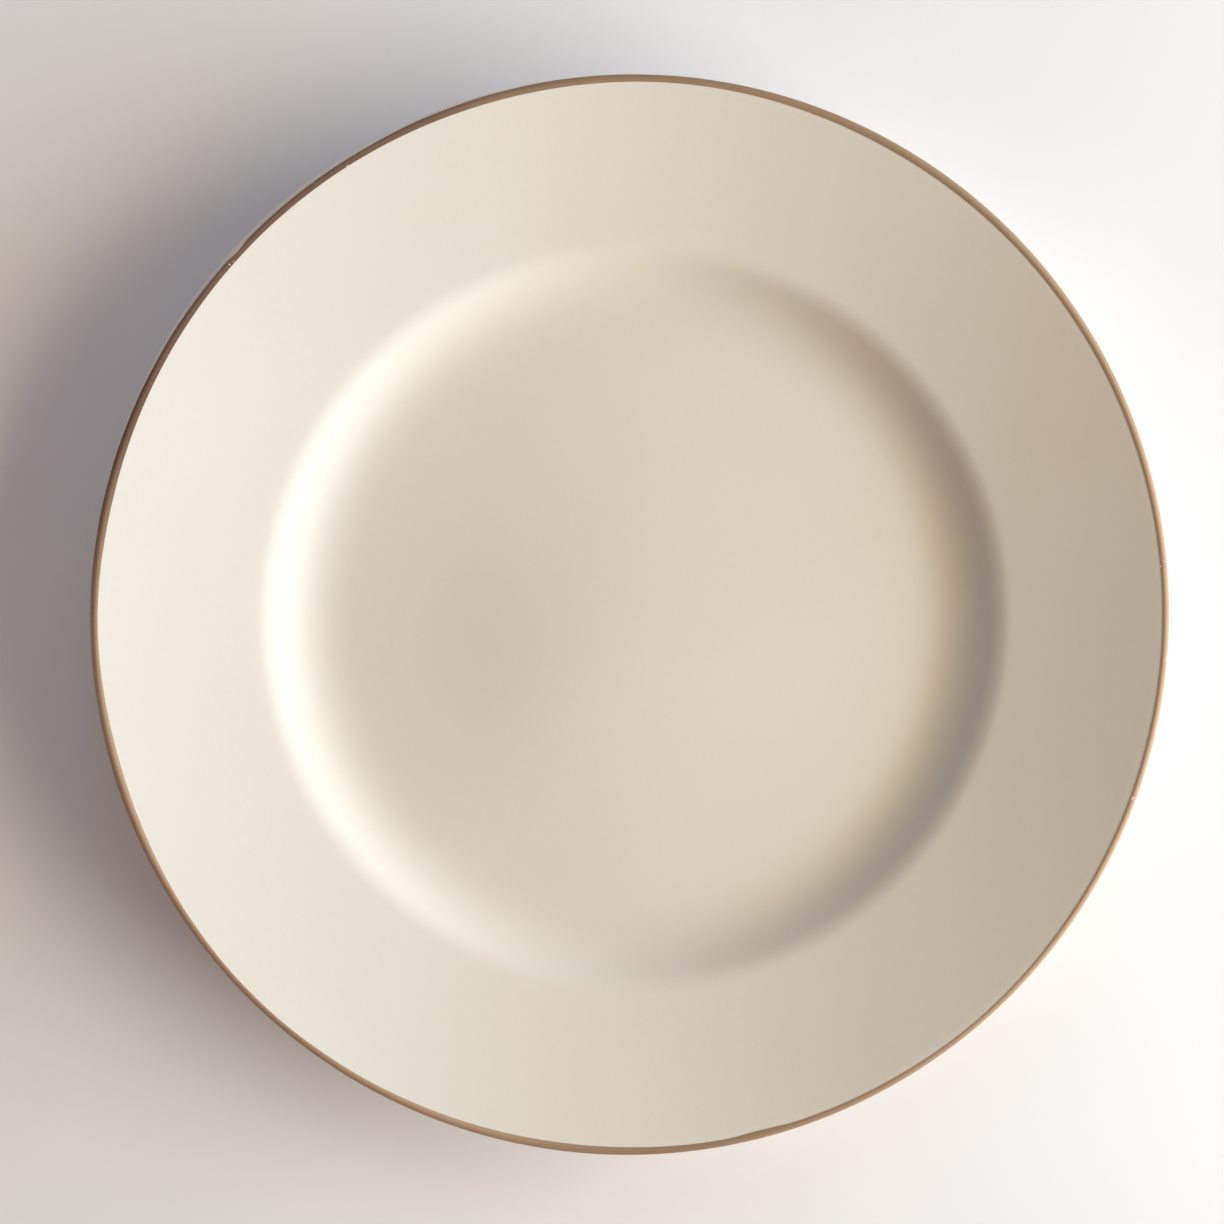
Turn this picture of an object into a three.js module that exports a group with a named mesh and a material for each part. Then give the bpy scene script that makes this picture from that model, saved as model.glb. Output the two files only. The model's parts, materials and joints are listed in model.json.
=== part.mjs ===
// A china dinner plate with a broad sloping rim, a rounded shoulder, a shallow well and a foot
// ring. The clay body is formed in one piece. Glaze covers it all over except the edge of the foot
// ring, so the glass coat is in two pieces: one over the face, round the lip and down the back,
// and one inside the foot ring. A gilt line is fired on to the lip.
//
// Millimetres, +Z up. The plate's axis is Z, and it stands on the table at Z = 0. A section is
// drawn as points of (radius, height) and turned about the axis.

import * as THREE from "three";

// Overall size, over the glaze
const PLATE_DIAMETER = 267;
const PLATE_HEIGHT = 22.4;

// The face of the clay
const FLOOR_DIAMETER = 145; // across the floor of the well
const FLOOR_HEIGHT = 7; // the floor's edge over the table
const CROWN_HEIGHT = 1.2; // how much higher the floor is in its middle
const SHOULDER_DIAMETER = 186.8; // across the edge where the rim breaks down into the well
const SHOULDER_HEIGHT = 12.85; // that edge over the table
const SHOULDER_ROUNDING = 2.5; // how far from that edge the curve over it starts
const WELL_SLOPE = 30.5; // degrees, where the well's side meets the shoulder
const LIFT_REACH = 10; // pull of the level floor on the side's curve, as it lifts away
const CLIMB_REACH = 6; // pull of the slope under the shoulder on the same curve
const RIM_SLOPE_INSIDE = 11.8; // degrees, where the rim leaves the shoulder
const RIM_SLOPE_OUTSIDE = 15.2; // degrees, where the rim meets the lip

// Thickness of the clay
const FLOOR_THICKNESS = 4.2; // at the edge of the floor
const SHOULDER_THICKNESS = 4.2;
const LIP_THICKNESS = 2.6; // the lip is a half round of this thickness

// The foot ring
const FOOT_DIAMETER = 152; // across the middle of the edge that it stands on
const FOOT_EDGE_WIDTH = 2.6; // that edge, corner to corner
const FOOT_EDGE_ROUNDING = 0.5; // how far from a corner its rounding starts
const FOOT_SPREAD = 2.2; // how much further each side of the ring reaches at its root
const FOOT_OUTSIDE_HEIGHT = 3.6; // the ring is a little taller outside than inside
const FOOT_ROOT_ROUNDING = 1.4; // how far from a root its fillet starts
const BARE_SHARE = 0.35; // the glaze is wiped off this share of each side, up from the edge

// The coats
const GLAZE_THICKNESS = 0.3;
const GILT_THICKNESS = 0.1;
const GILT_SET_IN = 7.5; // degrees of the lip's half round left pale inside the gilt line
const GILT_SPAN = 64; // degrees of it under the gilt line
const BOND_CLEARANCE = 0.02; // hairline between a coat and what it is fired on to

// How finely the shape is divided
const STEPS_ROUND = 60;
const STEPS_LONG = 5;
const STEPS_SHORT = 3;
const SAME_POINT = 1e-6; // points closer than this are one point

// Worked out from the values above
const COAT_OVER_CLAY = BOND_CLEARANCE + GLAZE_THICKNESS;
const FOOT_INSIDE_HEIGHT = FLOOR_HEIGHT - FLOOR_THICKNESS;
const radians = THREE.MathUtils.degToRad;
const wellSlope = radians(WELL_SLOPE);
const rimSlopeInside = radians(RIM_SLOPE_INSIDE);
const rimSlopeOutside = radians(RIM_SLOPE_OUTSIDE);
const halfTurn = Math.PI;

const point = (radius, height) => new THREE.Vector2(radius, height);
const shoulder = point(SHOULDER_DIAMETER / 2, SHOULDER_HEIGHT);

// The point a distance away from another, at an angle.
function stepped(from, angle, distance) {
  return from.clone().add(point(Math.cos(angle), Math.sin(angle)).multiplyScalar(distance));
}

// The point a distance away from another, towards a third.
function towards(from, to, distance) {
  return from.clone().lerp(to, distance / from.distanceTo(to));
}

function roundedCorner(from, corner, to) {
  return new THREE.QuadraticBezierCurve(from, corner, to).getPoints(STEPS_SHORT);
}

// A curve that leaves one point at an angle and arrives at another at its own angle. The reaches
// say how long it holds each angle.
function easedCurve(from, startAngle, to, endAngle, startReach, endReach) {
  const evenReach = from.distanceTo(to) / 3;
  const leaving = stepped(from, startAngle, startReach ?? evenReach);
  const arriving = stepped(to, endAngle, -(endReach ?? evenReach));
  return new THREE.CubicBezierCurve(from, leaving, arriving, to).getPoints(STEPS_LONG);
}

// Stretches of outline, end to end, with each shared end point kept once.
function joined(...stretches) {
  const isNew = (here, i, all) => i === 0 || here.distanceTo(all[i - 1]) > SAME_POINT;
  return stretches.flat().filter(isNew);
}

// The face, from the axis to where the lip begins: crowned floor, side of the well, shoulder and
// rim.
function faceOutline(lipStart) {
  const floorEdge = point(FLOOR_DIAMETER / 2, FLOOR_HEIGHT);
  const wellTop = stepped(shoulder, wellSlope, -SHOULDER_ROUNDING);
  const rimStart = stepped(shoulder, rimSlopeInside, SHOULDER_ROUNDING);
  return joined(
    easedCurve(point(0, FLOOR_HEIGHT + CROWN_HEIGHT), 0, floorEdge, 0),
    easedCurve(floorEdge, 0, wellTop, wellSlope, LIFT_REACH, CLIMB_REACH),
    roundedCorner(wellTop, shoulder, rimStart),
    easedCurve(rimStart, rimSlopeInside, lipStart, rimSlopeOutside),
  );
}

// The lip, a half round that turns the face into the back. Its crest is the top of the plate, and
// it reaches the plate's full width. It has three stretches: up to the gilt, under it and past it.
function lipStretches() {
  const radius = LIP_THICKNESS / 2;
  const centre = point(
    PLATE_DIAMETER / 2 - COAT_OVER_CLAY - radius,
    PLATE_HEIGHT - COAT_OVER_CLAY - radius,
  );
  const clockwise = true;
  const stretch = (from, to, steps) => {
    const sweep = new THREE.EllipseCurve(centre.x, centre.y, radius, radius, from, to, clockwise);
    return sweep.getPoints(steps);
  };
  const faceEnd = halfTurn / 2 + rimSlopeOutside;
  const giltStart = faceEnd - radians(GILT_SET_IN);
  const giltEnd = giltStart - radians(GILT_SPAN);
  return [
    stretch(faceEnd, giltStart, 1),
    stretch(giltStart, giltEnd, STEPS_SHORT),
    stretch(giltEnd, faceEnd - halfTurn, STEPS_SHORT),
  ];
}

// One side of the foot ring, where outward is 1 for the outside and -1 for the inside. It has the
// root, the end of the root's fillet, the end of the glaze, and the rounded corner of the edge.
function footSide(outward, rootHeight) {
  const corner = point(FOOT_DIAMETER / 2 + (outward * FOOT_EDGE_WIDTH) / 2, 0);
  const root = point(corner.x + outward * FOOT_SPREAD, rootHeight);
  const roundingTop = towards(corner, root, FOOT_EDGE_ROUNDING);
  const roundingEnd = point(corner.x - outward * FOOT_EDGE_ROUNDING, 0);
  return {
    root,
    filletEnd: towards(root, corner, FOOT_ROOT_ROUNDING),
    glazeEnd: corner.clone().lerp(root, BARE_SHARE),
    rounding: roundedCorner(roundingTop, corner, roundingEnd),
  };
}

// The back, from where the lip ends, under the rim and the shoulder, to the end of the glaze on
// the outside of the foot ring.
function backOutline(lipEnd, foot) {
  const squareToShoulder = (wellSlope + rimSlopeInside) / 2 - halfTurn / 2;
  const underShoulder = stepped(shoulder, squareToShoulder, SHOULDER_THICKNESS);
  const underRim = stepped(underShoulder, rimSlopeInside, SHOULDER_ROUNDING);
  const underWell = towards(underShoulder, foot.root, SHOULDER_ROUNDING);
  const filletStart = towards(foot.root, underShoulder, FOOT_ROOT_ROUNDING);
  return joined(
    easedCurve(lipEnd, rimSlopeOutside - halfTurn, underRim, rimSlopeInside - halfTurn),
    roundedCorner(underRim, underShoulder, underWell),
    roundedCorner(filletStart, foot.root, foot.filletEnd),
    [foot.glazeEnd],
  );
}

// The inside of the foot ring and the recess, from the end of the glaze to the axis.
function recessOutline(foot) {
  const filletStart = point(foot.root.x - FOOT_ROOT_ROUNDING, foot.root.y);
  return joined(
    [foot.glazeEnd],
    roundedCorner(foot.filletEnd, foot.root, filletStart),
    [point(0, FOOT_INSIDE_HEIGHT)],
  );
}

// An outline moved out of the clay by a distance, which is to the left of the way it runs. Each
// straight stretch stays parallel to itself.
function raised(outline, distance) {
  const leftOf = (from, to) => {
    const along = to.clone().sub(from).normalize();
    return point(-along.y, along.x);
  };
  const normals = outline.slice(1).map((here, i) => leftOf(outline[i], here));
  return outline.map((here, i) => {
    const before = normals[Math.max(i - 1, 0)];
    const after = normals[Math.min(i, normals.length - 1)];
    const mitre = before.clone().add(after).divideScalar(1 + before.dot(after));
    return here.clone().addScaledVector(mitre, distance);
  });
}

// The closed section of a coat that lies on an outline, from one distance over it to another.
function coatSection(outline, inside, outside) {
  const outerFace = raised(outline, outside);
  return [...outerFace, ...raised(outline, inside).reverse(), outerFace[0]];
}

// A section turned about the axis. Sections run clockwise, and a lathe wants them the other way
// for its faces to point out.
function turned(name, section, material) {
  const geometry = new THREE.LatheGeometry(section.toReversed(), STEPS_ROUND);
  geometry.rotateX(halfTurn / 2);
  const mesh = new THREE.Mesh(geometry, new THREE.MeshStandardMaterial(material));
  mesh.name = name;
  return mesh;
}

const [lipToGilt, giltOnLip, lipToBack] = lipStretches();
const footOutside = footSide(1, FOOT_OUTSIDE_HEIGHT);
const footInside = footSide(-1, FOOT_INSIDE_HEIGHT);

const glazedOutside = joined(
  faceOutline(lipToGilt[0]),
  lipToGilt,
  giltOnLip,
  lipToBack,
  backOutline(lipToBack.at(-1), footOutside),
);
const bareEdge = [...footOutside.rounding, ...footInside.rounding.toReversed()];
const glazedRecess = recessOutline(footInside);

const biscuit = { color: 0xe9e2d3, roughness: 0.85, metalness: 0 };
const ivoryGlaze = { color: 0xe3dac8, roughness: 0.12, metalness: 0 };
const firedGold = { color: 0x9c7b50, roughness: 0.3, metalness: 1 };

const giltInside = COAT_OVER_CLAY + BOND_CLEARANCE;
const giltOutside = giltInside + GILT_THICKNESS;

const plate = new THREE.Group();
plate.name = "dinner_plate";
plate.add(
  turned("clay_body", joined(glazedOutside, bareEdge, glazedRecess), biscuit),
  turned("outer_glaze", coatSection(glazedOutside, BOND_CLEARANCE, COAT_OVER_CLAY), ivoryGlaze),
  turned("recess_glaze", coatSection(glazedRecess, BOND_CLEARANCE, COAT_OVER_CLAY), ivoryGlaze),
  turned("gilt_line", coatSection(giltOnLip, giltInside, giltOutside), firedGold),
);

export default plate;
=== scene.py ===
# %% [markdown]
# # A china dinner plate
#
# The plate is four things in one: a clay body, a coat of glaze over its face, lip and back, a
# second coat inside the foot ring, and a line of gold on the lip. The body is made first, as the
# potter does. The glaze is then grown from the body's own skin, and the gold is wrapped on to the
# glaze. This file makes each of them, gives each its finish, and sets up a table, the light and
# the camera.
#
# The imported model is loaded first. It is the fixed frame: every piece made here is in metres and
# stands where that model says.

# %% Load the frame
import json
import math

import bpy
from mathutils import Matrix, Vector


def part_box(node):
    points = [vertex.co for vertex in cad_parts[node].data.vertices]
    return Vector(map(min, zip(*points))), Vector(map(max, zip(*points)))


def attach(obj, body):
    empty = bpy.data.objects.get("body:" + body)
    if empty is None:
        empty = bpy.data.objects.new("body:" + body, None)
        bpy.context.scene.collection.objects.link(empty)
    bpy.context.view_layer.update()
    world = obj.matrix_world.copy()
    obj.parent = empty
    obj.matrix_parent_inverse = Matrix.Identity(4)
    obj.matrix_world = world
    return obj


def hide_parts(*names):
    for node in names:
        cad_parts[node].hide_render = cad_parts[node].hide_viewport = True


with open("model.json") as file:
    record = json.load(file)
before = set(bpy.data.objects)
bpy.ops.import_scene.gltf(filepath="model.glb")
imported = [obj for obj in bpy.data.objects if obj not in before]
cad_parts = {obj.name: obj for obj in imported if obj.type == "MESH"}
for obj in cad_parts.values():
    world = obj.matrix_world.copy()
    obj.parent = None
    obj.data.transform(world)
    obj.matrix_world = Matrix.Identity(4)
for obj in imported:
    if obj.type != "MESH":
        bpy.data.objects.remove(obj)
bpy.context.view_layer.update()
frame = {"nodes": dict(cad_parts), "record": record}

MM = 0.001  # metres in a millimetre
print("frame nodes:", sorted(frame["nodes"]))

# %% [markdown]
# ## Reading the sizes
#
# The main sizes come from the frame, so that the looks can't drift away from the model. The mount
# says where the foot ring stands. The glaze's box gives the plate's width and height, and the
# recess coat's box gives the height of the ceiling inside the foot ring. All of them are turned
# into millimetres, which are easier to think in.

# %% Read the sizes from the frame
mounts = {mount["name"]: mount for mount in frame["record"]["mounts"]}
foot_radius = mounts["foot_edge"]["pos_m"][0] / MM
glaze_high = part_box("outer_glaze")[1]
plate_radius, plate_height = glaze_high.x / MM, glaze_high.z / MM
recess_over_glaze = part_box("recess_glaze")[1].z / MM

BOND = 0.02  # hairline between a coat and what it lies on
GLAZE = 0.3  # thickness of the glaze
COAT = BOND + GLAZE
recess_height = recess_over_glaze + BOND
print(f"plate {2 * plate_radius:.1f} wide and {plate_height:.1f} tall, in mm; "
      f"foot ring {2 * foot_radius:.0f} across, its ceiling at {recess_height:.2f}")

# %% [markdown]
# ## The section
#
# A plate is formed on a jigger: a slab of clay lies on a spinning mould, and a blade cut to the
# plate's section comes down on it. The drawing of that section is all the shape there is, so it
# deserves care. It is a list of points of (radius, height), in millimetres, that starts on the
# axis in the middle of the floor and goes round the clay to the axis underneath.
#
# It could be typed in as dozens of points. Instead it is made of a few short stretches: straight
# lines, curves that ease from one slope into another, and rounded corners. A Bezier curve does
# both jobs, as its handles say which way it sets off and how firmly.

# %% Tools for drawing a section
def step_from(start, degrees, distance):
    """The point a distance away from another, at an angle."""
    angle = math.radians(degrees)
    return (start[0] + distance * math.cos(angle), start[1] + distance * math.sin(angle))


def along(start, end, distance):
    """The point a distance away from one point, on the way to another."""
    share = distance / math.dist(start, end)
    return tuple(a + share * (b - a) for a, b in zip(start, end))


def bezier(handles, steps):
    """Points on a Bezier curve with any number of handles."""
    degree = len(handles) - 1
    points = []
    for i in range(steps + 1):
        t = i / steps
        shares = [math.comb(degree, k) * t**k * (1 - t) ** (degree - k)
                  for k in range(degree + 1)]
        points.append(tuple(sum(s * h[axis] for s, h in zip(shares, handles))
                            for axis in (0, 1)))
    return points


def eased(start, start_degrees, end, end_degrees, steps, reaches=None):
    """A curve that leaves start at one slope and meets end at another."""
    even = math.dist(start, end) / 3
    leave, arrive = reaches or (even, even)
    handles = (start, step_from(start, start_degrees, leave),
               step_from(end, end_degrees, -arrive), end)
    return bezier(handles, steps)


def joined(*stretches):
    """Stretches end to end, with each shared point kept once."""
    outline = []
    for stretch in stretches:
        for point in stretch:
            if not outline or math.dist(point, outline[-1]) > 1e-6:
                outline.append(point)
    return outline


# %% [markdown]
# ## The face and the lip
#
# From above, the plate is a floor that is crowned by about a millimetre, a side that lifts off it
# softly and is steepest just under the shoulder, a small rounded shoulder, and a rim that climbs
# all the way to the lip. The slopes decide how light and dark each of these looks under a low
# light, so they are the values to change first when the shading looks wrong: even the crown shows,
# as one half of the floor is a little darker than the other. The lip is a half round.

# %% Draw the face and the lip
LONG, SHORT = 20, 8  # points in a long stretch and in a small corner
FLOOR_RADIUS, FLOOR_HEIGHT = 72.5, 7  # the edge of the well's floor
CROWN = 1.2  # how much higher the floor is in its middle
SHOULDER = (93.4, 12.85)  # the corner between well and rim, before it is rounded
SHOULDER_ROUNDING = 2.5  # how far from that corner its curve starts
WELL_SLOPE, RIM_INSIDE, RIM_OUTSIDE = 30.5, 11.8, 15.2  # slopes in degrees
SIDE_REACHES = (10, 6)  # pulls of the level floor and of the slope on the side's curve
LIP = 1.3  # radius of the lip's half round

well_top = step_from(SHOULDER, WELL_SLOPE, -SHOULDER_ROUNDING)
rim_start = step_from(SHOULDER, RIM_INSIDE, SHOULDER_ROUNDING)
lip_centre = (plate_radius - COAT - LIP, plate_height - COAT - LIP)
lip_angles = [90 + RIM_OUTSIDE - 180 * i / LONG for i in range(LONG + 1)]
lip = [step_from(lip_centre, degrees, LIP) for degrees in lip_angles]

face = joined(
    eased((0, FLOOR_HEIGHT + CROWN), 0, (FLOOR_RADIUS, FLOOR_HEIGHT), 0, LONG),
    eased((FLOOR_RADIUS, FLOOR_HEIGHT), 0, well_top, WELL_SLOPE, LONG, SIDE_REACHES),
    bezier((well_top, SHOULDER, rim_start), SHORT),
    eased(rim_start, RIM_INSIDE, lip[0], RIM_OUTSIDE, LONG),
)
print(f"face: {len(face)} points, lip: {len(lip)} points, "
      f"the well is {SHOULDER[1] - FLOOR_HEIGHT:.1f} mm deep")

# %% [markdown]
# ## The back and the foot ring
#
# Underneath, the clay follows the face at an even thickness, thickens over the foot ring, and
# drops into the ring on both sides through a fillet. The ring stands on a narrow edge with
# rounded corners. Glaze would weld the plate to the kiln shelf, so it is wiped off that edge and
# off the lowest part of each side: those points are noted as the section is drawn.

# %% Draw the back and the foot ring
SHOULDER_CLAY = 4.2  # thickness of the clay under the shoulder
FOOT_HALF_WIDTH = 1.3  # half the width of the edge that the plate stands on
FOOT_SPREAD = 2.2  # how much wider each side is at its root
FOOT_OUTSIDE = 3.6  # height of the ring on the outside
EDGE_ROUNDING, ROOT_FILLET = 0.5, 1.4
RECESS_RINGS = 8  # steps across the recess, which let it warp a little later
BARE_SHARE = 0.35  # the share of each side that is wiped bare, from the edge up


def foot_side(outward, root_height):
    """One side of the foot ring: its root, fillet end, glaze end and rounded corner."""
    corner = (foot_radius + outward * FOOT_HALF_WIDTH, 0)
    root = (corner[0] + outward * FOOT_SPREAD, root_height)
    underneath = (corner[0] - outward * EDGE_ROUNDING, 0)
    return {
        "root": root,
        "fillet_end": along(root, corner, ROOT_FILLET),
        "glaze_end": along(corner, root, BARE_SHARE * math.dist(corner, root)),
        "corner": bezier((along(corner, root, EDGE_ROUNDING), corner, underneath), SHORT),
    }


outside, inside = foot_side(1, FOOT_OUTSIDE), foot_side(-1, recess_height)
square_down = (WELL_SLOPE + RIM_INSIDE) / 2 - 90
under_shoulder = step_from(SHOULDER, square_down, SHOULDER_CLAY)
under_rim = step_from(under_shoulder, RIM_INSIDE, SHOULDER_ROUNDING)
under_well = along(under_shoulder, outside["root"], SHOULDER_ROUNDING)
fillet_start = along(outside["root"], under_shoulder, ROOT_FILLET)
recess_fillet = (inside["root"][0] - ROOT_FILLET, recess_height)

back = joined(
    eased(lip[-1], RIM_OUTSIDE - 180, under_rim, RIM_INSIDE - 180, LONG),
    bezier((under_rim, under_shoulder, under_well), SHORT),
    bezier((fillet_start, outside["root"], outside["fillet_end"]), SHORT),
    [outside["glaze_end"]],
)
foot_edge = outside["corner"] + inside["corner"][::-1]
recess = joined(
    [inside["glaze_end"]],
    bezier((inside["fillet_end"], inside["root"], recess_fillet), SHORT),
    [(recess_fillet[0] * (1 - i / RECESS_RINGS), recess_height)
     for i in range(1, RECESS_RINGS + 1)],
)
section = joined(face, lip, back, foot_edge, recess)
print(f"section: {len(section)} points")

# %% [markdown]
# ## The clay body
#
# The body is the section turned about the axis. In Blender that is an extrusion, point by point,
# followed by one spin. A lathe modifier or a curve could do it too; the spin is chosen because it
# is what the jigger does, and it leaves a plain mesh to go on with.
#
# A tiny plane merged into one point is the start of the drawing. The spin leaves the last copy of
# the section on top of the first, and one copy of each end on the axis, so doubles are merged.
# Only then are the normals recalculated, because a spin may turn the shape inside out.

# %% Draw and spin the body
SEGMENTS = 256  # around the plate
WELD = 1e-6  # metres: vertices closer than this are one


def only(piece):
    """Select one piece and nothing else."""
    bpy.ops.object.select_all(action="DESELECT")
    piece.select_set(True)
    bpy.context.view_layer.objects.active = piece


def draw_section(name, outline):
    """A chain of points in the XZ plane, drawn by extruding one point along the outline."""
    bpy.ops.object.select_all(action="DESELECT")
    first = Vector((outline[0][0], 0, outline[0][1])) * MM
    bpy.ops.mesh.primitive_plane_add(size=MM, location=first)
    piece = bpy.context.object
    piece.name = piece.data.name = name
    bpy.ops.object.transform_apply(location=True, rotation=True, scale=True)
    bpy.ops.object.mode_set(mode="EDIT")
    bpy.ops.mesh.select_mode(type="VERT")
    bpy.ops.mesh.select_all(action="SELECT")
    bpy.ops.mesh.merge(type="CENTER")
    for (r0, z0), (r1, z1) in zip(outline, outline[1:]):
        travel = Vector((r1 - r0, 0, z1 - z0)) * MM
        bpy.ops.mesh.extrude_region_move(TRANSFORM_OT_translate={"value": travel})
    bpy.ops.object.mode_set(mode="OBJECT")
    return piece


def spin_section(piece):
    """The drawn chain turned once about the plate's axis and closed."""
    only(piece)
    bpy.ops.object.mode_set(mode="EDIT")
    bpy.ops.mesh.select_all(action="SELECT")
    bpy.ops.mesh.spin(steps=SEGMENTS, angle=2 * math.pi, center=(0, 0, 0), axis=(0, 0, 1))
    bpy.ops.mesh.select_all(action="SELECT")
    bpy.ops.mesh.remove_doubles(threshold=WELD)
    bpy.ops.mesh.normals_make_consistent(inside=False)
    bpy.ops.object.mode_set(mode="OBJECT")


clay = draw_section("clay_body_fired", section)
spin_section(clay)
print(f"clay: {len(clay.data.vertices)} vertices, {len(clay.data.polygons)} faces")

# %% [markdown]
# ## The glaze
#
# Glaze goes on as a liquid, so it takes the body's own shape. The two coats are therefore made
# from a copy of the body's skin: the faces of the bare foot edge are deleted, which leaves one
# skin over the face, lip and back, and another inside the foot ring. Each is moved out by the
# hairline and given its thickness outwards by a Solidify modifier. A small bevel rounds the edge
# where each coat stops.

# %% Grow the glaze from the body's skin
GLAZE_EDGE = 0.1  # rounding of the edge where a coat stops
EDGE_STEPS = 3  # faces across that rounding
SHARP = 50  # degrees: edges that turn by more than this are rounded
HAIR = 1e-3  # mm, so that faces level with a limit count as past it


def keep_faces(piece, wanted):
    """Delete the faces of a piece whose middle, in millimetres, isn't wanted."""
    only(piece)
    bpy.ops.object.mode_set(mode="EDIT")
    bpy.ops.mesh.select_mode(type="FACE")
    bpy.ops.mesh.select_all(action="DESELECT")
    bpy.ops.object.mode_set(mode="OBJECT")
    for face_here in piece.data.polygons:
        middle = face_here.center / MM
        face_here.select = not wanted(middle.xy.length, middle.z)
    bpy.ops.object.mode_set(mode="EDIT")
    bpy.ops.mesh.delete(type="FACE")
    bpy.ops.object.mode_set(mode="OBJECT")


def skin_of(body, name, wanted):
    """A copy of part of a body's skin, with its own mesh."""
    only(body)
    bpy.ops.object.duplicate()
    copy = bpy.context.object
    copy.name = copy.data.name = name
    keep_faces(copy, wanted)
    return copy


def fatten(piece, distance):
    """Move a skin out along its normals, in millimetres."""
    only(piece)
    bpy.ops.object.mode_set(mode="EDIT")
    bpy.ops.mesh.select_all(action="SELECT")
    bpy.ops.transform.shrink_fatten(value=distance * MM, use_even_offset=True)
    bpy.ops.object.mode_set(mode="OBJECT")


def thicken(piece, thickness, rounding):
    """Give a skin its thickness outwards, and round the edges where it stops."""
    only(piece)
    wall = piece.modifiers.new("thickness", "SOLIDIFY")
    wall.thickness = thickness * MM
    wall.offset = 1
    wall.use_even_offset = True
    bpy.ops.object.modifier_apply(modifier=wall.name)
    if rounding:
        soft = piece.modifiers.new("soft_edge", "BEVEL")
        soft.width = rounding * MM
        soft.segments = EDGE_STEPS
        soft.limit_method = "ANGLE"
        soft.angle_limit = math.radians(SHARP)
        bpy.ops.object.modifier_apply(modifier=soft.name)


def on_outside(radius, height):
    """Whether a place on the skin belongs to the coat over the face, lip and back."""
    return height > FLOOR_HEIGHT - HAIR or (
        radius > foot_radius and height > outside["glaze_end"][1])


def in_recess(radius, height):
    """Whether it belongs to the coat inside the foot ring."""
    return radius < foot_radius and inside["glaze_end"][1] < height < recess_height + HAIR


glaze = skin_of(clay, "glaze_face_and_back", on_outside)
recess_glaze = skin_of(clay, "glaze_in_foot_ring", in_recess)
for coat in (glaze, recess_glaze):
    fatten(coat, BOND)
    thicken(coat, GLAZE, GLAZE_EDGE)
    print(f"{coat.name}: {len(coat.data.polygons)} faces, "
          f"{coat.dimensions.x / MM:.2f} mm across")

# %% [markdown]
# ## The gold line
#
# Liquid gold is put on by hand: the plate turns on a banding wheel and a brush is held against
# the lip. The plate never sits quite in the middle of the wheel, so the line is a little nearer
# the edge on one side than on the other, and its width changes as the brush runs dry.
#
# A ring of even width would miss that. The line is made from two circles instead, one for each
# of its edges, each with its own middle. Each circle is pulled out of true in a few places, with
# proportional editing kept to its own ring, and the two are bridged. The band must stay clear of
# the lip until a Shrinkwrap modifier lays it on the glaze: from inside the glaze, the nearest
# surface would be the hidden one. So the outer ring rises as it is pulled in over the lip.

# %% Make the gold line
GOLD_SEGMENTS = 720  # vertices in each of the two rings
INNER_RADIUS, INNER_SHIFT = 130.85, (0.25, -0.25)  # the line's inner edge, and its middle
OUTER_RADIUS, OUTER_SHIFT = 134.3, (0.05, -0.05)  # its outer edge, past the lip until wrapped
# Each pull has its bearing in degrees, how far out in mm, and how far it reaches along the ring.
INNER_PULLS = ((222, 0.7, 60), (262, -0.3, 50), (283, -0.4, 10), (180, 0.5, 35), (-50, 0.3, 50),
               (85, 0.45, 60))
OUTER_PULLS = ((131, -1.9, 165), (137, -0.5, 4), (-4, -1.0, 2), (-54, -0.7, 3))
HOVER = 0.9  # how far over the lip the inner ring is drawn before it is wrapped
OUTER_DROP = 1.6  # how much lower the outer ring is drawn
LIP_FALL = 0.8  # mm that the outer ring sinks for each mm it is pulled out, as the lip is round


def pull_ring(piece, first, bearing, amount, reach, fall):
    """Pull the ring that starts at a vertex in or out; the pull fades along the ring."""
    only(piece)
    out = Vector((math.cos(math.radians(bearing)), math.sin(math.radians(bearing)), 0))
    bpy.ops.object.mode_set(mode="EDIT")
    bpy.ops.mesh.select_all(action="DESELECT")
    bpy.ops.object.mode_set(mode="OBJECT")
    ring = piece.data.vertices[first:first + GOLD_SEGMENTS]
    max(ring, key=lambda v: v.co.dot(out)).select = True
    bpy.ops.object.mode_set(mode="EDIT")
    bpy.ops.transform.translate(
        value=(out - Vector((0, 0, fall))) * amount * MM, use_proportional_edit=True,
        use_proportional_connected=True, proportional_edit_falloff="SMOOTH",
        proportional_size=reach * MM)
    bpy.ops.object.mode_set(mode="OBJECT")


inner_height = plate_height + HOVER
outer_height = inner_height - OUTER_DROP
bpy.ops.object.select_all(action="DESELECT")
bpy.ops.mesh.primitive_circle_add(
    vertices=GOLD_SEGMENTS, radius=INNER_RADIUS * MM,
    location=(INNER_SHIFT[0] * MM, INNER_SHIFT[1] * MM, inner_height * MM))
gold = bpy.context.object
gold.name = gold.data.name = "gold_line_fired"
bpy.ops.object.transform_apply(location=True, rotation=True, scale=True)
bpy.ops.object.mode_set(mode="EDIT")
bpy.ops.mesh.select_mode(type="VERT")
bpy.ops.mesh.primitive_circle_add(
    vertices=GOLD_SEGMENTS, radius=OUTER_RADIUS * MM,
    location=(OUTER_SHIFT[0] * MM, OUTER_SHIFT[1] * MM, outer_height * MM))
bpy.ops.object.mode_set(mode="OBJECT")
for bearing, amount, reach in INNER_PULLS:
    pull_ring(gold, 0, bearing, amount, reach, 0)
for bearing, amount, reach in OUTER_PULLS:
    pull_ring(gold, GOLD_SEGMENTS, bearing, amount, reach, LIP_FALL)
print(f"gold rings: {len(gold.data.vertices)} vertices")

# %% [markdown]
# The two rings are bridged with cuts between them, so that the band can bend over the round of
# the lip. An open band has no inside that Blender could find, so its faces are turned up if they
# came out pointing down. Wrapping it on to the nearest point of the glaze gives each vertex its
# place, and the gold's thickness is then added outwards.

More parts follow.
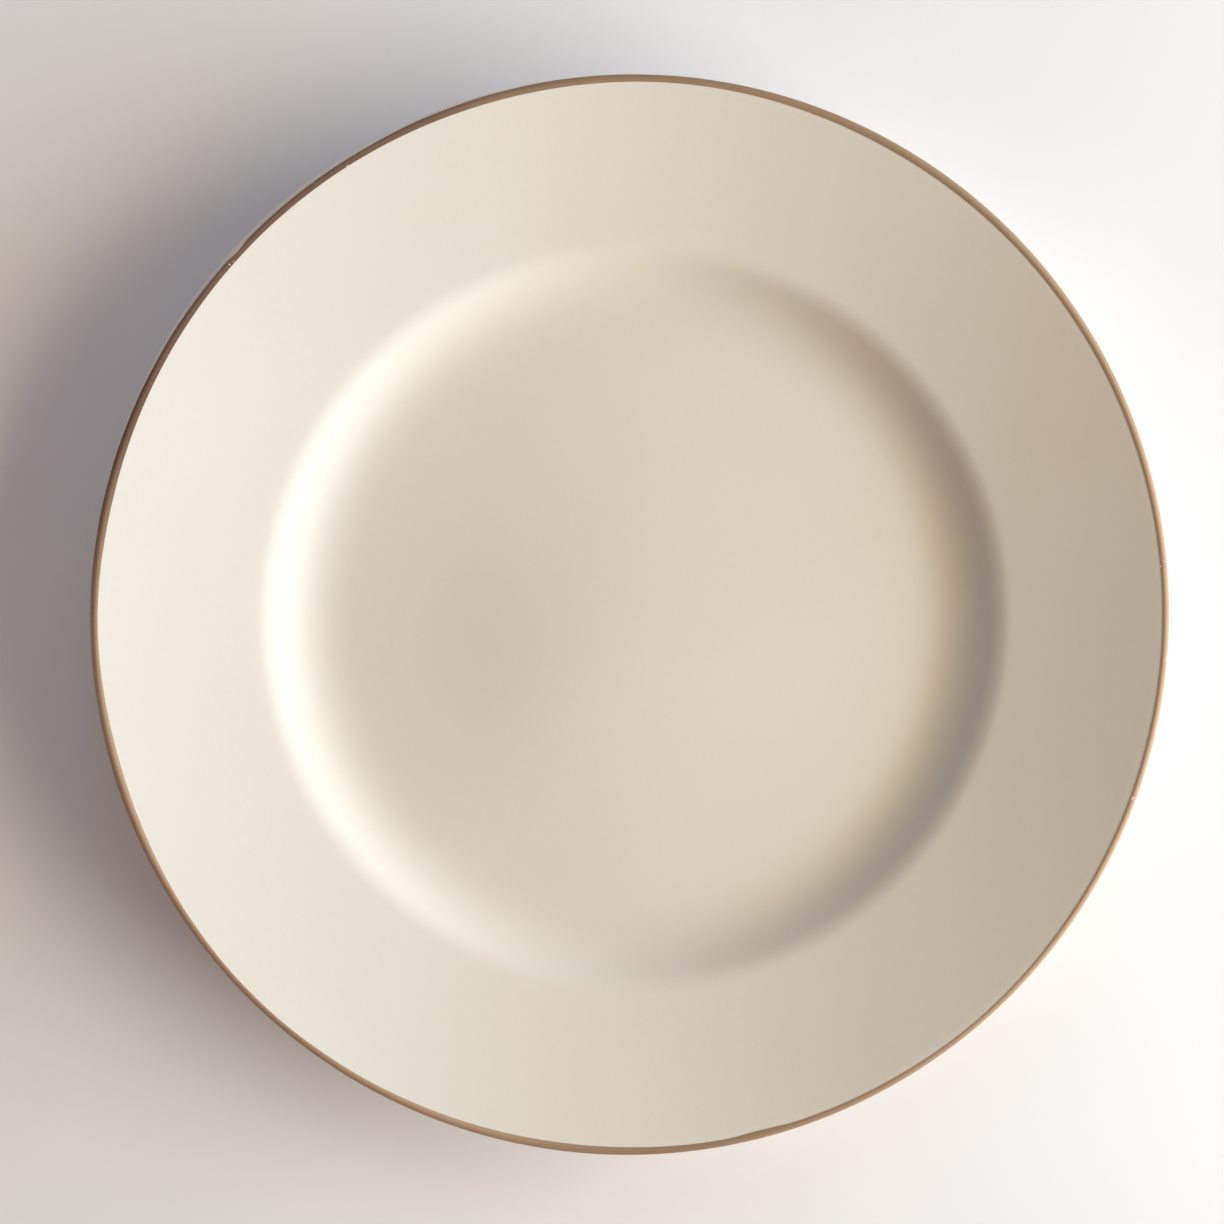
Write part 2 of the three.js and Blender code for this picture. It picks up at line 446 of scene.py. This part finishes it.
# %% Bridge, wrap and thicken the gold
GOLD_CUTS = 6  # rows of vertices between the two rings
GOLD = 0.05  # thickness of the gold

only(gold)
bpy.ops.object.mode_set(mode="EDIT")
bpy.ops.mesh.select_all(action="SELECT")
bpy.ops.mesh.bridge_edge_loops(number_cuts=GOLD_CUTS, interpolation="LINEAR")
bpy.ops.mesh.select_all(action="SELECT")
bpy.ops.mesh.normals_make_consistent(inside=False)
bpy.ops.object.mode_set(mode="OBJECT")
if sum(f.normal.z for f in gold.data.polygons) < 0:
    bpy.ops.object.mode_set(mode="EDIT")
    bpy.ops.mesh.flip_normals()
    bpy.ops.object.mode_set(mode="OBJECT")

wrap = gold.modifiers.new("lie_on_glaze", "SHRINKWRAP")
wrap.target = glaze
wrap.wrap_method = "NEAREST_SURFACEPOINT"
wrap.wrap_mode = "OUTSIDE_SURFACE"
wrap.offset = BOND * MM
bpy.ops.object.modifier_apply(modifier=wrap.name)
thicken(gold, GOLD, 0)
print(f"gold: {len(gold.data.polygons)} faces, {gold.dimensions.x / MM:.2f} mm across")

# %% [markdown]
# ## A breath of warp
#
# No fired plate is perfectly true: it softens in the kiln and its rim settles by a fraction of a
# millimetre. That is too little to see as a shape, but it bends every reflection on the rim. A
# lattice, a soft cage of points, does it for all pieces at once and by the same amount, so that
# they go on fitting each other. The cage's inner points stay, so the foot stays all but level.

# %% Warp all pieces with one cage
CAGE_POINTS = 5  # along X and along Y
CAGE_SIZE = 320  # mm
CREASE = 40  # degrees: edges that turn by less than this are shaded smooth
RIM_LIFTS = (0.22, 0.05, -0.16, -0.04, 0.18, -0.12, 0.06, 0.2,
             -0.1, 0.14, -0.18, 0.08, -0.06, 0.16, -0.14, 0.1)  # mm, once round the cage

bpy.ops.object.select_all(action="DESELECT")
bpy.ops.object.add(type="LATTICE", location=(0, 0, plate_height / 2 * MM))
cage = bpy.context.object
cage.scale = (CAGE_SIZE * MM, CAGE_SIZE * MM, 2 * plate_height * MM)
cage.data.points_u = cage.data.points_v = CAGE_POINTS
cage.data.points_w = 2
last = CAGE_POINTS - 1
rim_points = ([(i, 0) for i in range(last)] + [(last, i) for i in range(last)]
              + [(last - i, last) for i in range(last)] + [(0, last - i) for i in range(last)])
for (u, v), lift in zip(rim_points, RIM_LIFTS):
    for w in (0, 1):
        index = u + CAGE_POINTS * (v + CAGE_POINTS * w)
        cage.data.points[index].co_deform.z += lift / (2 * plate_height)

pieces = {"clay": clay, "glaze": glaze, "recess": recess_glaze, "gold": gold}
for piece in pieces.values():
    only(piece)
    bend = piece.modifiers.new("kiln_warp", "LATTICE")
    bend.object = cage
    bpy.ops.object.modifier_apply(modifier=bend.name)
    bpy.ops.object.shade_smooth_by_angle(angle=math.radians(CREASE))
bpy.data.objects.remove(cage)
lowest = min(v.co.z for v in clay.data.vertices) / MM
print(f"after the warp the foot's lowest point is at {lowest:.3f} mm")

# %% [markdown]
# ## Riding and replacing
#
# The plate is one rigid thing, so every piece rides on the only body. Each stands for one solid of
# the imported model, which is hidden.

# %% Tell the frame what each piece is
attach(clay, "root")
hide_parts("clay_body")
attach(glaze, "root")
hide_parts("outer_glaze")
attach(recess_glaze, "root")
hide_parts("recess_glaze")
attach(gold, "root")
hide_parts("gilt_line")
print("pieces:", ", ".join(piece.name for piece in pieces.values()))

# %% [markdown]
# ## Tools for finishes
#
# A finish is a small network of nodes around one Principled shader. Written out in full it would
# be hundreds of lines, so short helpers make a node, join two sockets, do a sum and mix colours.

# %% Node helpers
def add(tree, kind, **settings):
    """A node of a kind, with its settings, and with values for sockets given as a dict."""
    values = settings.pop("values", {})
    node = tree.nodes.new("ShaderNode" + kind)
    for setting, value in settings.items():
        setattr(node, setting, value)
    for socket, value in values.items():
        node.inputs[socket].default_value = value
    return node


def join(tree, output, entry):
    """A link from one socket to another."""
    tree.links.new(output, entry)


def math_node(tree, operation, first, second=None, third=None, clamp=False):
    """A Math node; each value is a socket or a number. Gives its output."""
    node = add(tree, "Math", operation=operation, use_clamp=clamp)
    for entry, value in zip(node.inputs, (first, second, third)):
        if isinstance(value, (int, float)):
            entry.default_value = value
        elif value is not None:
            join(tree, value, entry)
    return node.outputs[0]


def mix_colours(tree, share, first, second, blend="MIX"):
    """A colour Mix node; each side is a socket or a colour. Gives its output."""
    node = add(tree, "Mix", data_type="RGBA", blend_type=blend, clamp_factor=True)
    colours = [s for s in node.inputs if s.type == "RGBA"]
    for entry, value in zip([node.inputs[0]] + colours, (share, first, second)):
        if isinstance(value, bpy.types.NodeSocket):
            join(tree, value, entry)
        elif isinstance(value, (int, float)):
            entry.default_value = value
        else:
            entry.default_value = (*value, 1)
    return next(s for s in node.outputs if s.type == "RGBA")


# %% [markdown]
# A material starts with its shader and with the place on the piece, which every texture reads.
# Effects that more than one finish uses are node groups with named inputs and outputs. Each is
# built once and then placed in any material.

# %% Material and group helpers
NUMBER, VECTOR = "NodeSocketFloat", "NodeSocketVector"


def new_finish(name):
    """A material with its shader, and the place on the piece as a socket."""
    material = bpy.data.materials.new(name)
    material.use_nodes = True
    tree = material.node_tree
    shader = tree.nodes["Principled BSDF"]
    place = add(tree, "TexCoord").outputs["Object"]
    return material, tree, shader, place


def give_finish(material, *wearers):
    """Make a material the only one on each of some pieces."""
    for piece in wearers:
        piece.data.materials.clear()
        piece.data.materials.append(material)
    print("finish:", material.name)


def new_group(name, entries, exits):
    """A node group with named number and vector sockets."""
    tree = bpy.data.node_groups.new(name, "ShaderNodeTree")
    for socket_name, kind, value in entries:
        entry = tree.interface.new_socket(socket_name, in_out="INPUT", socket_type=kind)
        if value is not None:
            entry.default_value = value
    for socket_name, kind in exits:
        tree.interface.new_socket(socket_name, in_out="OUTPUT", socket_type=kind)
    return tree, tree.nodes.new("NodeGroupInput").outputs, tree.nodes.new(
        "NodeGroupOutput").inputs


def use_group(tree, group, place, **values):
    """A group placed in a material, reading the place. Gives its outputs."""
    node = add(tree, "Group", node_tree=group)
    join(tree, place, node.inputs["Place"])
    for socket, value in values.items():
        node.inputs[socket.replace("_", " ")].default_value = value
    return node.outputs


# %% [markdown]
# ### Round the plate
#
# Much on a plate goes round it: the brush marks in the gold, the pooling of the glaze, the wear
# on the foot. This group turns a place into a distance from the axis and a bearing. The bearing
# jumps from one end of its range to the other behind the plate, so the group also gives a place
# on a circle, which noise can read without a seam.

# %% Group: round the plate
polar, polar_in, polar_out = new_group(
    "round_the_plate", [("Place", VECTOR, None), ("Stretch", NUMBER, 1.0)],
    [("Radius", NUMBER), ("Round", VECTOR)])
parts = add(polar, "SeparateXYZ")
join(polar, polar_in["Place"], parts.inputs[0])
flat = add(polar, "CombineXYZ")
join(polar, parts.outputs["X"], flat.inputs["X"])
join(polar, parts.outputs["Y"], flat.inputs["Y"])
length = add(polar, "VectorMath", operation="LENGTH")
join(polar, flat.outputs[0], length.inputs[0])
unit = add(polar, "VectorMath", operation="NORMALIZE")
join(polar, flat.outputs[0], unit.inputs[0])
ring_place = add(polar, "VectorMath", operation="SCALE")
join(polar, unit.outputs[0], ring_place.inputs[0])
join(polar, polar_in["Stretch"], ring_place.inputs["Scale"])
with_radius = add(polar, "CombineXYZ")
join(polar, length.outputs["Value"], with_radius.inputs["Z"])
whole = add(polar, "VectorMath", operation="ADD")
join(polar, ring_place.outputs[0], whole.inputs[0])
join(polar, with_radius.outputs[0], whole.inputs[1])
join(polar, length.outputs["Value"], polar_out["Radius"])
join(polar, whole.outputs[0], polar_out["Round"])
print("group:", polar.name)

# %% [markdown]
# ### Specks
#
# Fired clay and glaze both hold a few dark specks of iron, smaller than a millimetre and far
# apart. A Voronoi texture scatters one point in each cell. The distance to it gives a dot, and
# the cell's own random colour decides which few cells keep theirs.

# %% Group: specks
specks, specks_in, specks_out = new_group(
    "iron_specks",
    [("Place", VECTOR, None), ("Cells per metre", NUMBER, 60.0), ("Size", NUMBER, 0.02),
     ("Share", NUMBER, 0.1)],
    [("Mask", NUMBER)])
cells = add(specks, "TexVoronoi")
join(specks, specks_in["Place"], cells.inputs["Vector"])
join(specks, specks_in["Cells per metre"], cells.inputs["Scale"])
dot = math_node(specks, "LESS_THAN", cells.outputs["Distance"], specks_in["Size"])
pick = add(specks, "SeparateColor")
join(specks, cells.outputs["Color"], pick.inputs[0])
kept = math_node(specks, "LESS_THAN", pick.outputs[0], specks_in["Share"])
join(specks, math_node(specks, "MULTIPLY", dot, kept), specks_out["Mask"])
print("group:", specks.name)

# %% [markdown]
# ### Cloudiness
#
# Nothing fired in a kiln has one even colour. This group gives a soft cloud that goes from 0 to 1
# with no hard edge, at a size that is set in each finish.

# %% Group: clouds
clouds, clouds_in, clouds_out = new_group(
    "kiln_clouds",
    [("Place", VECTOR, None), ("Clouds per metre", NUMBER, 20.0), ("Detail", NUMBER, 3.0),
     ("Low", NUMBER, 0.35), ("High", NUMBER, 0.65)],
    [("Cloud", NUMBER)])
cloud = add(clouds, "TexNoise")
join(clouds, clouds_in["Place"], cloud.inputs["Vector"])
join(clouds, clouds_in["Clouds per metre"], cloud.inputs["Scale"])
join(clouds, clouds_in["Detail"], cloud.inputs["Detail"])
spread = add(clouds, "MapRange", interpolation_type="SMOOTHSTEP")
join(clouds, cloud.outputs[0], spread.inputs["Value"])
join(clouds, clouds_in["Low"], spread.inputs["From Min"])
join(clouds, clouds_in["High"], spread.inputs["From Max"])
join(clouds, spread.outputs[0], clouds_out["Cloud"])
print("group:", clouds.name)

# %% [markdown]
# ## Ivory glaze
#
# The glaze is glass over an ivory body, and it shouldn't look like paint. Its colour is darker
# over the side of the well and paler over the shoulder and the lip. That is partly the glass
# running thick and thin, and partly painted shade on the well's side and painted highlight on the
# shoulder and lip.
# A colour ramp gives the tone at each share of the way out from the middle, and two clouds, one
# wide and one fine, keep any part of it from being even.

# %% Colour the ivory glaze
IVORY = (0.78, 0.712, 0.602)
# The deep tone is also painted shade on the well's side, and the thin tone painted highlight on
# the shoulder and lip.
IVORY_DEEP_AND_SHADED = (0.752, 0.674, 0.55)
IVORY_THIN_AND_LIT = (0.81, 0.752, 0.655)
# Dark stops on the well's side and pale ones at the shoulder and lip are partly painted shade and
# painted highlight.
SHADE_AND_THICKNESS_STOPS = ((0.0, 0.5), (0.54, 0.5), (0.6, 0.35), (0.66, 0.4), (0.7, 0.62),
                  (0.76, 0.52), (0.97, 0.52), (0.99, 0.85), (1.0, 0.95))  # place, thinness
DRIFT, FINE = 0.24, 0.1  # how far wide clouds and fine ones move the tone

ivory, tree, shader, place = new_finish("ivory_glaze_gloss")
round_plate = use_group(tree, polar, place)
share_out = math_node(tree, "DIVIDE", round_plate["Radius"], plate_radius * MM)
shade_and_thinness = add(tree, "ValToRGB")
shade_and_thinness.color_ramp.interpolation = "EASE"
stops = shade_and_thinness.color_ramp.elements
while len(stops) < len(SHADE_AND_THICKNESS_STOPS):
    stops.new(0.5)
for stop, (where, how_thin) in zip(stops, SHADE_AND_THICKNESS_STOPS):
    stop.position = where
    stop.color = (how_thin, how_thin, how_thin, 1)
join(tree, share_out, shade_and_thinness.inputs[0])

drift = use_group(tree, clouds, place, Clouds_per_metre=14.0, Detail=2.0)["Cloud"]
fine = use_group(tree, clouds, place, Clouds_per_metre=900.0, Detail=4.0)["Cloud"]
tone = math_node(tree, "ADD", shade_and_thinness.outputs[0],
                 math_node(tree, "MULTIPLY", math_node(tree, "SUBTRACT", drift, 0.5), DRIFT))
tone = math_node(tree, "ADD", tone,
                 math_node(tree, "MULTIPLY", math_node(tree, "SUBTRACT", fine, 0.5), FINE),
                 clamp=True)
colour = mix_colours(tree, math_node(tree, "MULTIPLY", tone, 2, clamp=True), IVORY_DEEP_AND_SHADED, IVORY)
over_half = math_node(tree, "MULTIPLY", math_node(tree, "SUBTRACT", tone, 0.5), 2, clamp=True)
colour = mix_colours(tree, over_half, colour, IVORY_THIN_AND_LIT)
print("glaze tones:", len(SHADE_AND_THICKNESS_STOPS), "stops from the middle to the lip")

# %% [markdown]
# A few specks of iron have melted into the glass as dark dots. And on one half of the floor there
# is
# painted shade: a soft, slightly rosy darker patch that stands for shade falling there. It is an
# oval, which a Mapping node makes easy: it moves, turns and scales the place so that the oval
# becomes a ball with a radius of 1, and the place's length then says how far out each point is.

# %% Add the specks and the painted shade on the floor
IRON = (0.16, 0.1, 0.06)
SPECK_SHOWS = 0.55  # how dark an iron speck is under the glass
# The painted shade on the floor: its tint, its middle, its half-widths and its lean.
PAINTED_SHADE_TINT = (0.965, 0.925, 0.95)  # what the flush multiplies the glaze's colour by, at its middle
PAINTED_SHADE_PLACE, PAINTED_SHADE_REACHES = (-38, -5), (30, 52, 30)  # its middle and its half-widths, in mm
PAINTED_SHADE_TURN = 8  # degrees that the oval leans

speck = use_group(tree, specks, place, Cells_per_metre=45.0, Size=0.012, Share=0.012)["Mask"]
colour = mix_colours(tree, math_node(tree, "MULTIPLY", speck, SPECK_SHOWS), colour, IRON)

# The painted shade's oval: full at its middle, fading to nothing at its edge.
oval = add(tree, "Mapping", vector_type="TEXTURE", values={
    "Location": (PAINTED_SHADE_PLACE[0] * MM, PAINTED_SHADE_PLACE[1] * MM, FLOOR_HEIGHT * MM),
    "Rotation": (0, 0, math.radians(PAINTED_SHADE_TURN)),
    "Scale": [reach * MM for reach in PAINTED_SHADE_REACHES]})
join(tree, place, oval.inputs[0])
from_painted_shade = add(tree, "VectorMath", operation="LENGTH")
join(tree, oval.outputs[0], from_painted_shade.inputs[0])
painted_shade = add(tree, "MapRange", interpolation_type="SMOOTHSTEP",
            values={"From Min": 1.0, "From Max": 0.0})
join(tree, from_painted_shade.outputs["Value"], painted_shade.inputs["Value"])
colour = mix_colours(tree, painted_shade.outputs[0], colour, PAINTED_SHADE_TINT, blend="MULTIPLY")
join(tree, colour, shader.inputs["Base Color"])
print("flush:", 2 * PAINTED_SHADE_REACHES[0], "by", 2 * PAINTED_SHADE_REACHES[1], "mm")

# %% [markdown]
# The surface is very smooth but not flat: a faint orange peel, about a hundredth of a millimetre
# deep, bends the highlights. The floor is slightly duller than the rim, because knives and
# stacking have rubbed it.

# %% Give the glaze its gloss
RUBBED_FROM, RUBBED_TO = 0.56, 0.42  # shares of the radius where the rubbing starts and is full
GLOSS, RUBBING = 0.09, 0.06  # roughness of the glaze, and what rubbing adds to it
GLASS_IOR = 1.52
PEEL_DEPTH = 0.01  # mm

rubbed = add(tree, "MapRange", interpolation_type="SMOOTHSTEP",
             values={"From Min": RUBBED_FROM, "From Max": RUBBED_TO, "To Max": RUBBING})
join(tree, share_out, rubbed.inputs["Value"])
scuffs = use_group(tree, clouds, place, Clouds_per_metre=160.0, Detail=6.0,
                   Low=0.45, High=0.8)["Cloud"]
roughness = math_node(tree, "MULTIPLY_ADD", scuffs, rubbed.outputs[0], GLOSS)
join(tree, roughness, shader.inputs["Roughness"])

peel = add(tree, "TexNoise", values={"Scale": 210.0, "Detail": 2.0, "Roughness": 0.4})
join(tree, place, peel.inputs["Vector"])
surface = add(tree, "Bump", values={"Strength": 0.3, "Distance": PEEL_DEPTH * MM})
join(tree, peel.outputs[0], surface.inputs["Height"])
join(tree, surface.outputs[0], shader.inputs["Normal"])
shader.inputs["IOR"].default_value = GLASS_IOR
give_finish(ivory, glaze, recess_glaze)

# %% [markdown]
# ## Bare clay
#
# The foot's edge is the only place where the fired clay shows. It is stoned smooth after the
# firing but stays dry, slightly sandy, and takes up dirt from every table and shelf. Grain comes
# from fine noise, in colour and as bump, and a cloud of grey sits on the very edge.

# %% Make the bare clay
CLAY = (0.72, 0.66, 0.56)
CLAY_DARK = (0.58, 0.51, 0.41)
SOIL = (0.36, 0.31, 0.25)
GRAIN_SHOWS, SOIL_SHOWS, CLAY_SPECK_SHOWS = 0.5, 0.7, 0.6  # how far each changes the colour
SOIL_FROM, SOIL_TO = 0.25, -0.05  # heights in mm where the soil starts and is full
CLAY_ROUGHNESS, GRAIN_ROUGHNESS = 0.72, 0.15  # the roughness, and what the grain adds to it
SAND_DEPTH = 0.05  # mm

biscuit, tree, shader, place = new_finish("biscuit_clay_stoned")
grain = use_group(tree, clouds, place, Clouds_per_metre=1400.0, Detail=5.0)["Cloud"]
patches = use_group(tree, clouds, place, Clouds_per_metre=90.0, Detail=3.0)["Cloud"]
colour = mix_colours(tree, math_node(tree, "MULTIPLY", grain, GRAIN_SHOWS), CLAY, CLAY_DARK)
height_here = add(tree, "SeparateXYZ")
join(tree, place, height_here.inputs[0])
on_edge = add(tree, "MapRange", interpolation_type="SMOOTHSTEP",
              values={"From Min": SOIL_FROM * MM, "From Max": SOIL_TO * MM})
join(tree, height_here.outputs["Z"], on_edge.inputs["Value"])
soiled = math_node(tree, "MULTIPLY", on_edge.outputs[0], patches)
colour = mix_colours(tree, math_node(tree, "MULTIPLY", soiled, SOIL_SHOWS), colour, SOIL)
speck = use_group(tree, specks, place, Cells_per_metre=500.0, Size=0.14, Share=0.12)["Mask"]
colour = mix_colours(tree, math_node(tree, "MULTIPLY", speck, CLAY_SPECK_SHOWS), colour, IRON)
join(tree, colour, shader.inputs["Base Color"])
roughness = math_node(tree, "MULTIPLY_ADD", grain, GRAIN_ROUGHNESS, CLAY_ROUGHNESS)
join(tree, roughness, shader.inputs["Roughness"])
sand = add(tree, "Bump", values={"Strength": 0.6, "Distance": SAND_DEPTH * MM})
join(tree, grain, sand.inputs["Height"])
join(tree, sand.outputs[0], shader.inputs["Normal"])
give_finish(biscuit, clay)

# %% [markdown]
# ## Fired gold
#
# Liquid gold is a brown oil with a little gold in it. Fired on to the glaze it would shine, but
# years of washing have left a dull, brownish film, a quarter of it still metal. Where the stroke
# began, on the upper left, the film is dark and reddish: partly a thick film from a full brush,
# and partly painted shade on the side of the lip turned away from the window. Nearly a quarter
# turn further on it is pale, rubbed thin by the hand that holds the plate. Hair-fine brush marks
# run round the plate, made with noise that is stretched that way.
#
# To say "near this bearing" with nodes, the place on the circle is compared with the bearing's
# own direction. Their dot product is 1 where they agree and falls off evenly to both sides.

# %% Colour the fired gold
GOLD_THIN = (0.37, 0.235, 0.135)
# The thick colour is also painted shade on the side of the lip away from the window.
GOLD_THICK_AND_SHADED = (0.19, 0.108, 0.072)
GOLD_RUBBED = (0.56, 0.38, 0.25)
# The stroke's start is also where painted shade darkens the gold most.
SHADED_STROKE_START, STROKE_REACH = 138, 42  # bearing of the thick film, and how far it reaches
HELD_AT, HAND_REACH = 215, 60  # the same for the place that is rubbed, all in degrees
STROKES_SHOW, PATCHES_SHOW = 0.3, 0.15  # how far brush marks and patches darken the film
FILM_LIMIT = 0.2  # unevenness under this doesn't darken it


def near_bearing(tree, round_place, bearing, reach):
    """1 at a bearing, falling to 0 at a reach of degrees to either side."""
    angle = math.radians(bearing)
    closeness = add(tree, "VectorMath", operation="DOT_PRODUCT",
                    values={1: (math.cos(angle), math.sin(angle), 0)})
    join(tree, round_place, closeness.inputs[0])
    fade = add(tree, "MapRange", interpolation_type="SMOOTHSTEP",
               values={"From Min": math.cos(math.radians(reach))})
    join(tree, closeness.outputs["Value"], fade.inputs["Value"])
    return fade.outputs[0]


fired_gold, tree, shader, place = new_finish("fired_gold_worn")
around = use_group(tree, polar, place, Stretch=0.02)
strokes = add(tree, "TexNoise", values={"Scale": 6000.0, "Detail": 3.0, "Roughness": 0.6})
join(tree, around["Round"], strokes.inputs["Vector"])
patches = use_group(tree, clouds, place, Clouds_per_metre=30.0, Detail=3.0)["Cloud"]
circle = use_group(tree, polar, place)["Round"]
uneven = math_node(tree, "ADD", math_node(tree, "MULTIPLY", strokes.outputs[0], STROKES_SHOW),
                   math_node(tree, "MULTIPLY", patches, PATCHES_SHOW))
# Full brush and painted shade together, near the stroke's start on the upper left.
full_brush_and_shade = near_bearing(tree, circle, SHADED_STROKE_START, STROKE_REACH)
thick = math_node(tree, "ADD", full_brush_and_shade, uneven)
thick = math_node(tree, "SUBTRACT", thick, FILM_LIMIT, clamp=True)
held = near_bearing(tree, circle, HELD_AT, HAND_REACH)
colour = mix_colours(tree, held, GOLD_THIN, GOLD_RUBBED)
colour = mix_colours(tree, thick, colour, GOLD_THICK_AND_SHADED)
join(tree, colour, shader.inputs["Base Color"])
print(f"gold: thick at {SHADED_STROKE_START} degrees, rubbed at {HELD_AT}")

# %% [markdown]
# The film is dull, with shallow brush marks. Small flecks of it are worn through, more of them in
# some zones than in others. They are cut out with Alpha, so that the real glaze under them shows.

# %% Dull and wear the gold
METAL = 0.25  # share of the film that is still metal
SHEEN = 0.15  # what is left of the shader's ordinary highlight, where 0.5 is all of it
DULLNESS, STROKE_DULLNESS = 0.62, 0.2  # roughness, and what brush marks add to it
BRUSH_DEPTH = 0.01  # mm
WEAR = 0.16  # how much more easily flecks come off in a worn zone
FLECK_EDGE = (0.74, 0.7)  # noise over the first is worn through, and under the second is whole

shader.inputs["Metallic"].default_value = METAL
shader.inputs["Specular IOR Level"].default_value = SHEEN
roughness = math_node(tree, "MULTIPLY_ADD", strokes.outputs[0], STROKE_DULLNESS, DULLNESS)
join(tree, roughness, shader.inputs["Roughness"])

flecks = add(tree, "TexNoise", values={"Scale": 700.0, "Detail": 4.0, "Roughness": 0.7})
join(tree, place, flecks.inputs["Vector"])
worn_zone = use_group(tree, clouds, place, Clouds_per_metre=40.0, Detail=2.0,
                      Low=0.5, High=0.75)["Cloud"]
loose = math_node(tree, "ADD", flecks.outputs[0], math_node(tree, "MULTIPLY", worn_zone, WEAR))
opaque = add(tree, "MapRange", values={"From Min": FLECK_EDGE[0], "From Max": FLECK_EDGE[1]})
join(tree, loose, opaque.inputs["Value"])
join(tree, opaque.outputs[0], shader.inputs["Alpha"])
brushed = add(tree, "Bump", values={"Strength": 0.4, "Distance": BRUSH_DEPTH * MM})
join(tree, strokes.outputs[0], brushed.inputs["Height"])
join(tree, brushed.outputs[0], shader.inputs["Normal"])
give_finish(fired_gold, gold)

# %% [markdown]
# ## The table
#
# The plate stands on a plain pale table top, far wider than the view. It is a plane, with a
# matt white finish that is very slightly uneven.

# %% Lay the table
TABLE_SIZE = 6  # metres
TABLE_TONES = (0.85, 0.82, 0.805), (0.875, 0.845, 0.83)  # its darker and its lighter white

bpy.ops.object.select_all(action="DESELECT")
bpy.ops.mesh.primitive_plane_add(size=TABLE_SIZE, location=(0, 0, 0))
table = bpy.context.object
table.name = table.data.name = "table_top"
matt_white, tree, shader, place = new_finish("matt_white")
mottle = use_group(tree, clouds, place, Clouds_per_metre=9.0, Detail=3.0)["Cloud"]
join(tree, mix_colours(tree, mottle, *TABLE_TONES), shader.inputs["Base Color"])
shader.inputs["Roughness"].default_value = 0.9
shader.inputs["Specular IOR Level"].default_value = 0.2
give_finish(matt_white, table)
print("table:", TABLE_SIZE, "m")

# %% [markdown]
# ## The light
#
# The plate stands beside a window: a broad, low light from the right, which draws the slopes of
# the rim and the well and throws a long soft shadow to the left. Two area lights one over the
# other stand for it, the lower one cooler, like open sky, and the upper one warmer. A third, weak
# and blue, stands for a second window behind the plate. A soft warm glow from the rest of the
# room comes from the world.

# %% Light the plate
LIGHTS = {  # bearing (0 is the plate's right) and height in degrees, metres, watts
    "window_low": {"bearing": -8, "height": 11, "distance": 1.4, "size": (1.6, 0.5),
                   "power": 45.9, "colour": (0.53, 0.72, 1.0)},
    "window_high": {"bearing": -8, "height": 28, "distance": 1.4, "size": (1.6, 0.5),
                    "power": 20.7, "colour": (1.0, 0.89, 0.61)},
    "window_behind": {"bearing": 90, "height": 35, "distance": 1.6, "size": (1.6, 0.8),
                      "power": 6.5, "colour": (0.32, 0.66, 1.0)},
}
ROOM_GLOW = (0.282, 0.209, 0.177)


def facing(direction, up_hint):
    """The turn that points an object's -Z along a direction, with its own up near a hint."""
    ahead = direction.normalized()
    right = ahead.cross(up_hint).normalized()
    return Matrix((right, right.cross(ahead), -ahead)).transposed().to_euler()


def towards_bearing(bearing, height):
    """The direction from the plate to something at a bearing and a height, in degrees."""
    b, h = math.radians(bearing), math.radians(height)
    return Vector((math.cos(h) * math.cos(b), math.cos(h) * math.sin(b), math.sin(h)))


for light_name, light in LIGHTS.items():
    direction = towards_bearing(light["bearing"], light["height"])
    bpy.ops.object.light_add(type="AREA", location=direction * light["distance"],
                             rotation=facing(-direction, Vector((0, 0, 1))))
    lamp = bpy.context.object
    lamp.name = lamp.data.name = light_name
    lamp.data.shape = "RECTANGLE"
    lamp.data.size, lamp.data.size_y = light["size"]
    lamp.data.energy = light["power"]
    lamp.data.color = light["colour"]

world = bpy.data.worlds.new("room_glow")
bpy.context.scene.world = world
world.use_nodes = True
glow = world.node_tree.nodes["Background"]
glow.inputs["Color"].default_value = (*ROOM_GLOW, 1)
glow.inputs["Strength"].default_value = 1.0
bpy.context.scene.view_settings.view_transform = "Standard"
print("lights:", ", ".join(LIGHTS))

# %% [markdown]
# ## The camera
#
# The view is from almost straight overhead, tilted a few degrees and from only thirty centimetres
# away. From so near, the lip, which is closer to the eye, looks a little larger beside the well
# than it would through a long lens. The camera's place is worked out from the lens, the size of
# the view at the lip's height and the tilt, so that the plate keeps its size in the picture
# whatever the lens is.

# %% Place the camera
LENS, SENSOR = 37, 36  # mm
VIEW_WIDTH = 302.1  # mm of the lip's plane that the picture spans
LOOK_AT = (-7.7, 2.68)  # the point of that plane in the middle of the picture
TILT_X, TILT_Y = -3.4, 2.1  # degrees off the vertical

distance = VIEW_WIDTH * MM * LENS / SENSOR
look_at = Vector((LOOK_AT[0] * MM, LOOK_AT[1] * MM, lip_centre[1] * MM))
away = Vector((math.tan(math.radians(TILT_X)), math.tan(math.radians(TILT_Y)), 1)).normalized()
bpy.ops.object.camera_add(location=look_at + away * distance,
                          rotation=facing(-away, Vector((0, 1, 0))))
camera = bpy.context.object
camera.name = "overhead_camera"
camera.data.lens, camera.data.sensor_width = LENS, SENSOR
bpy.context.scene.camera = camera
print(f"camera {distance:.3f} m away")
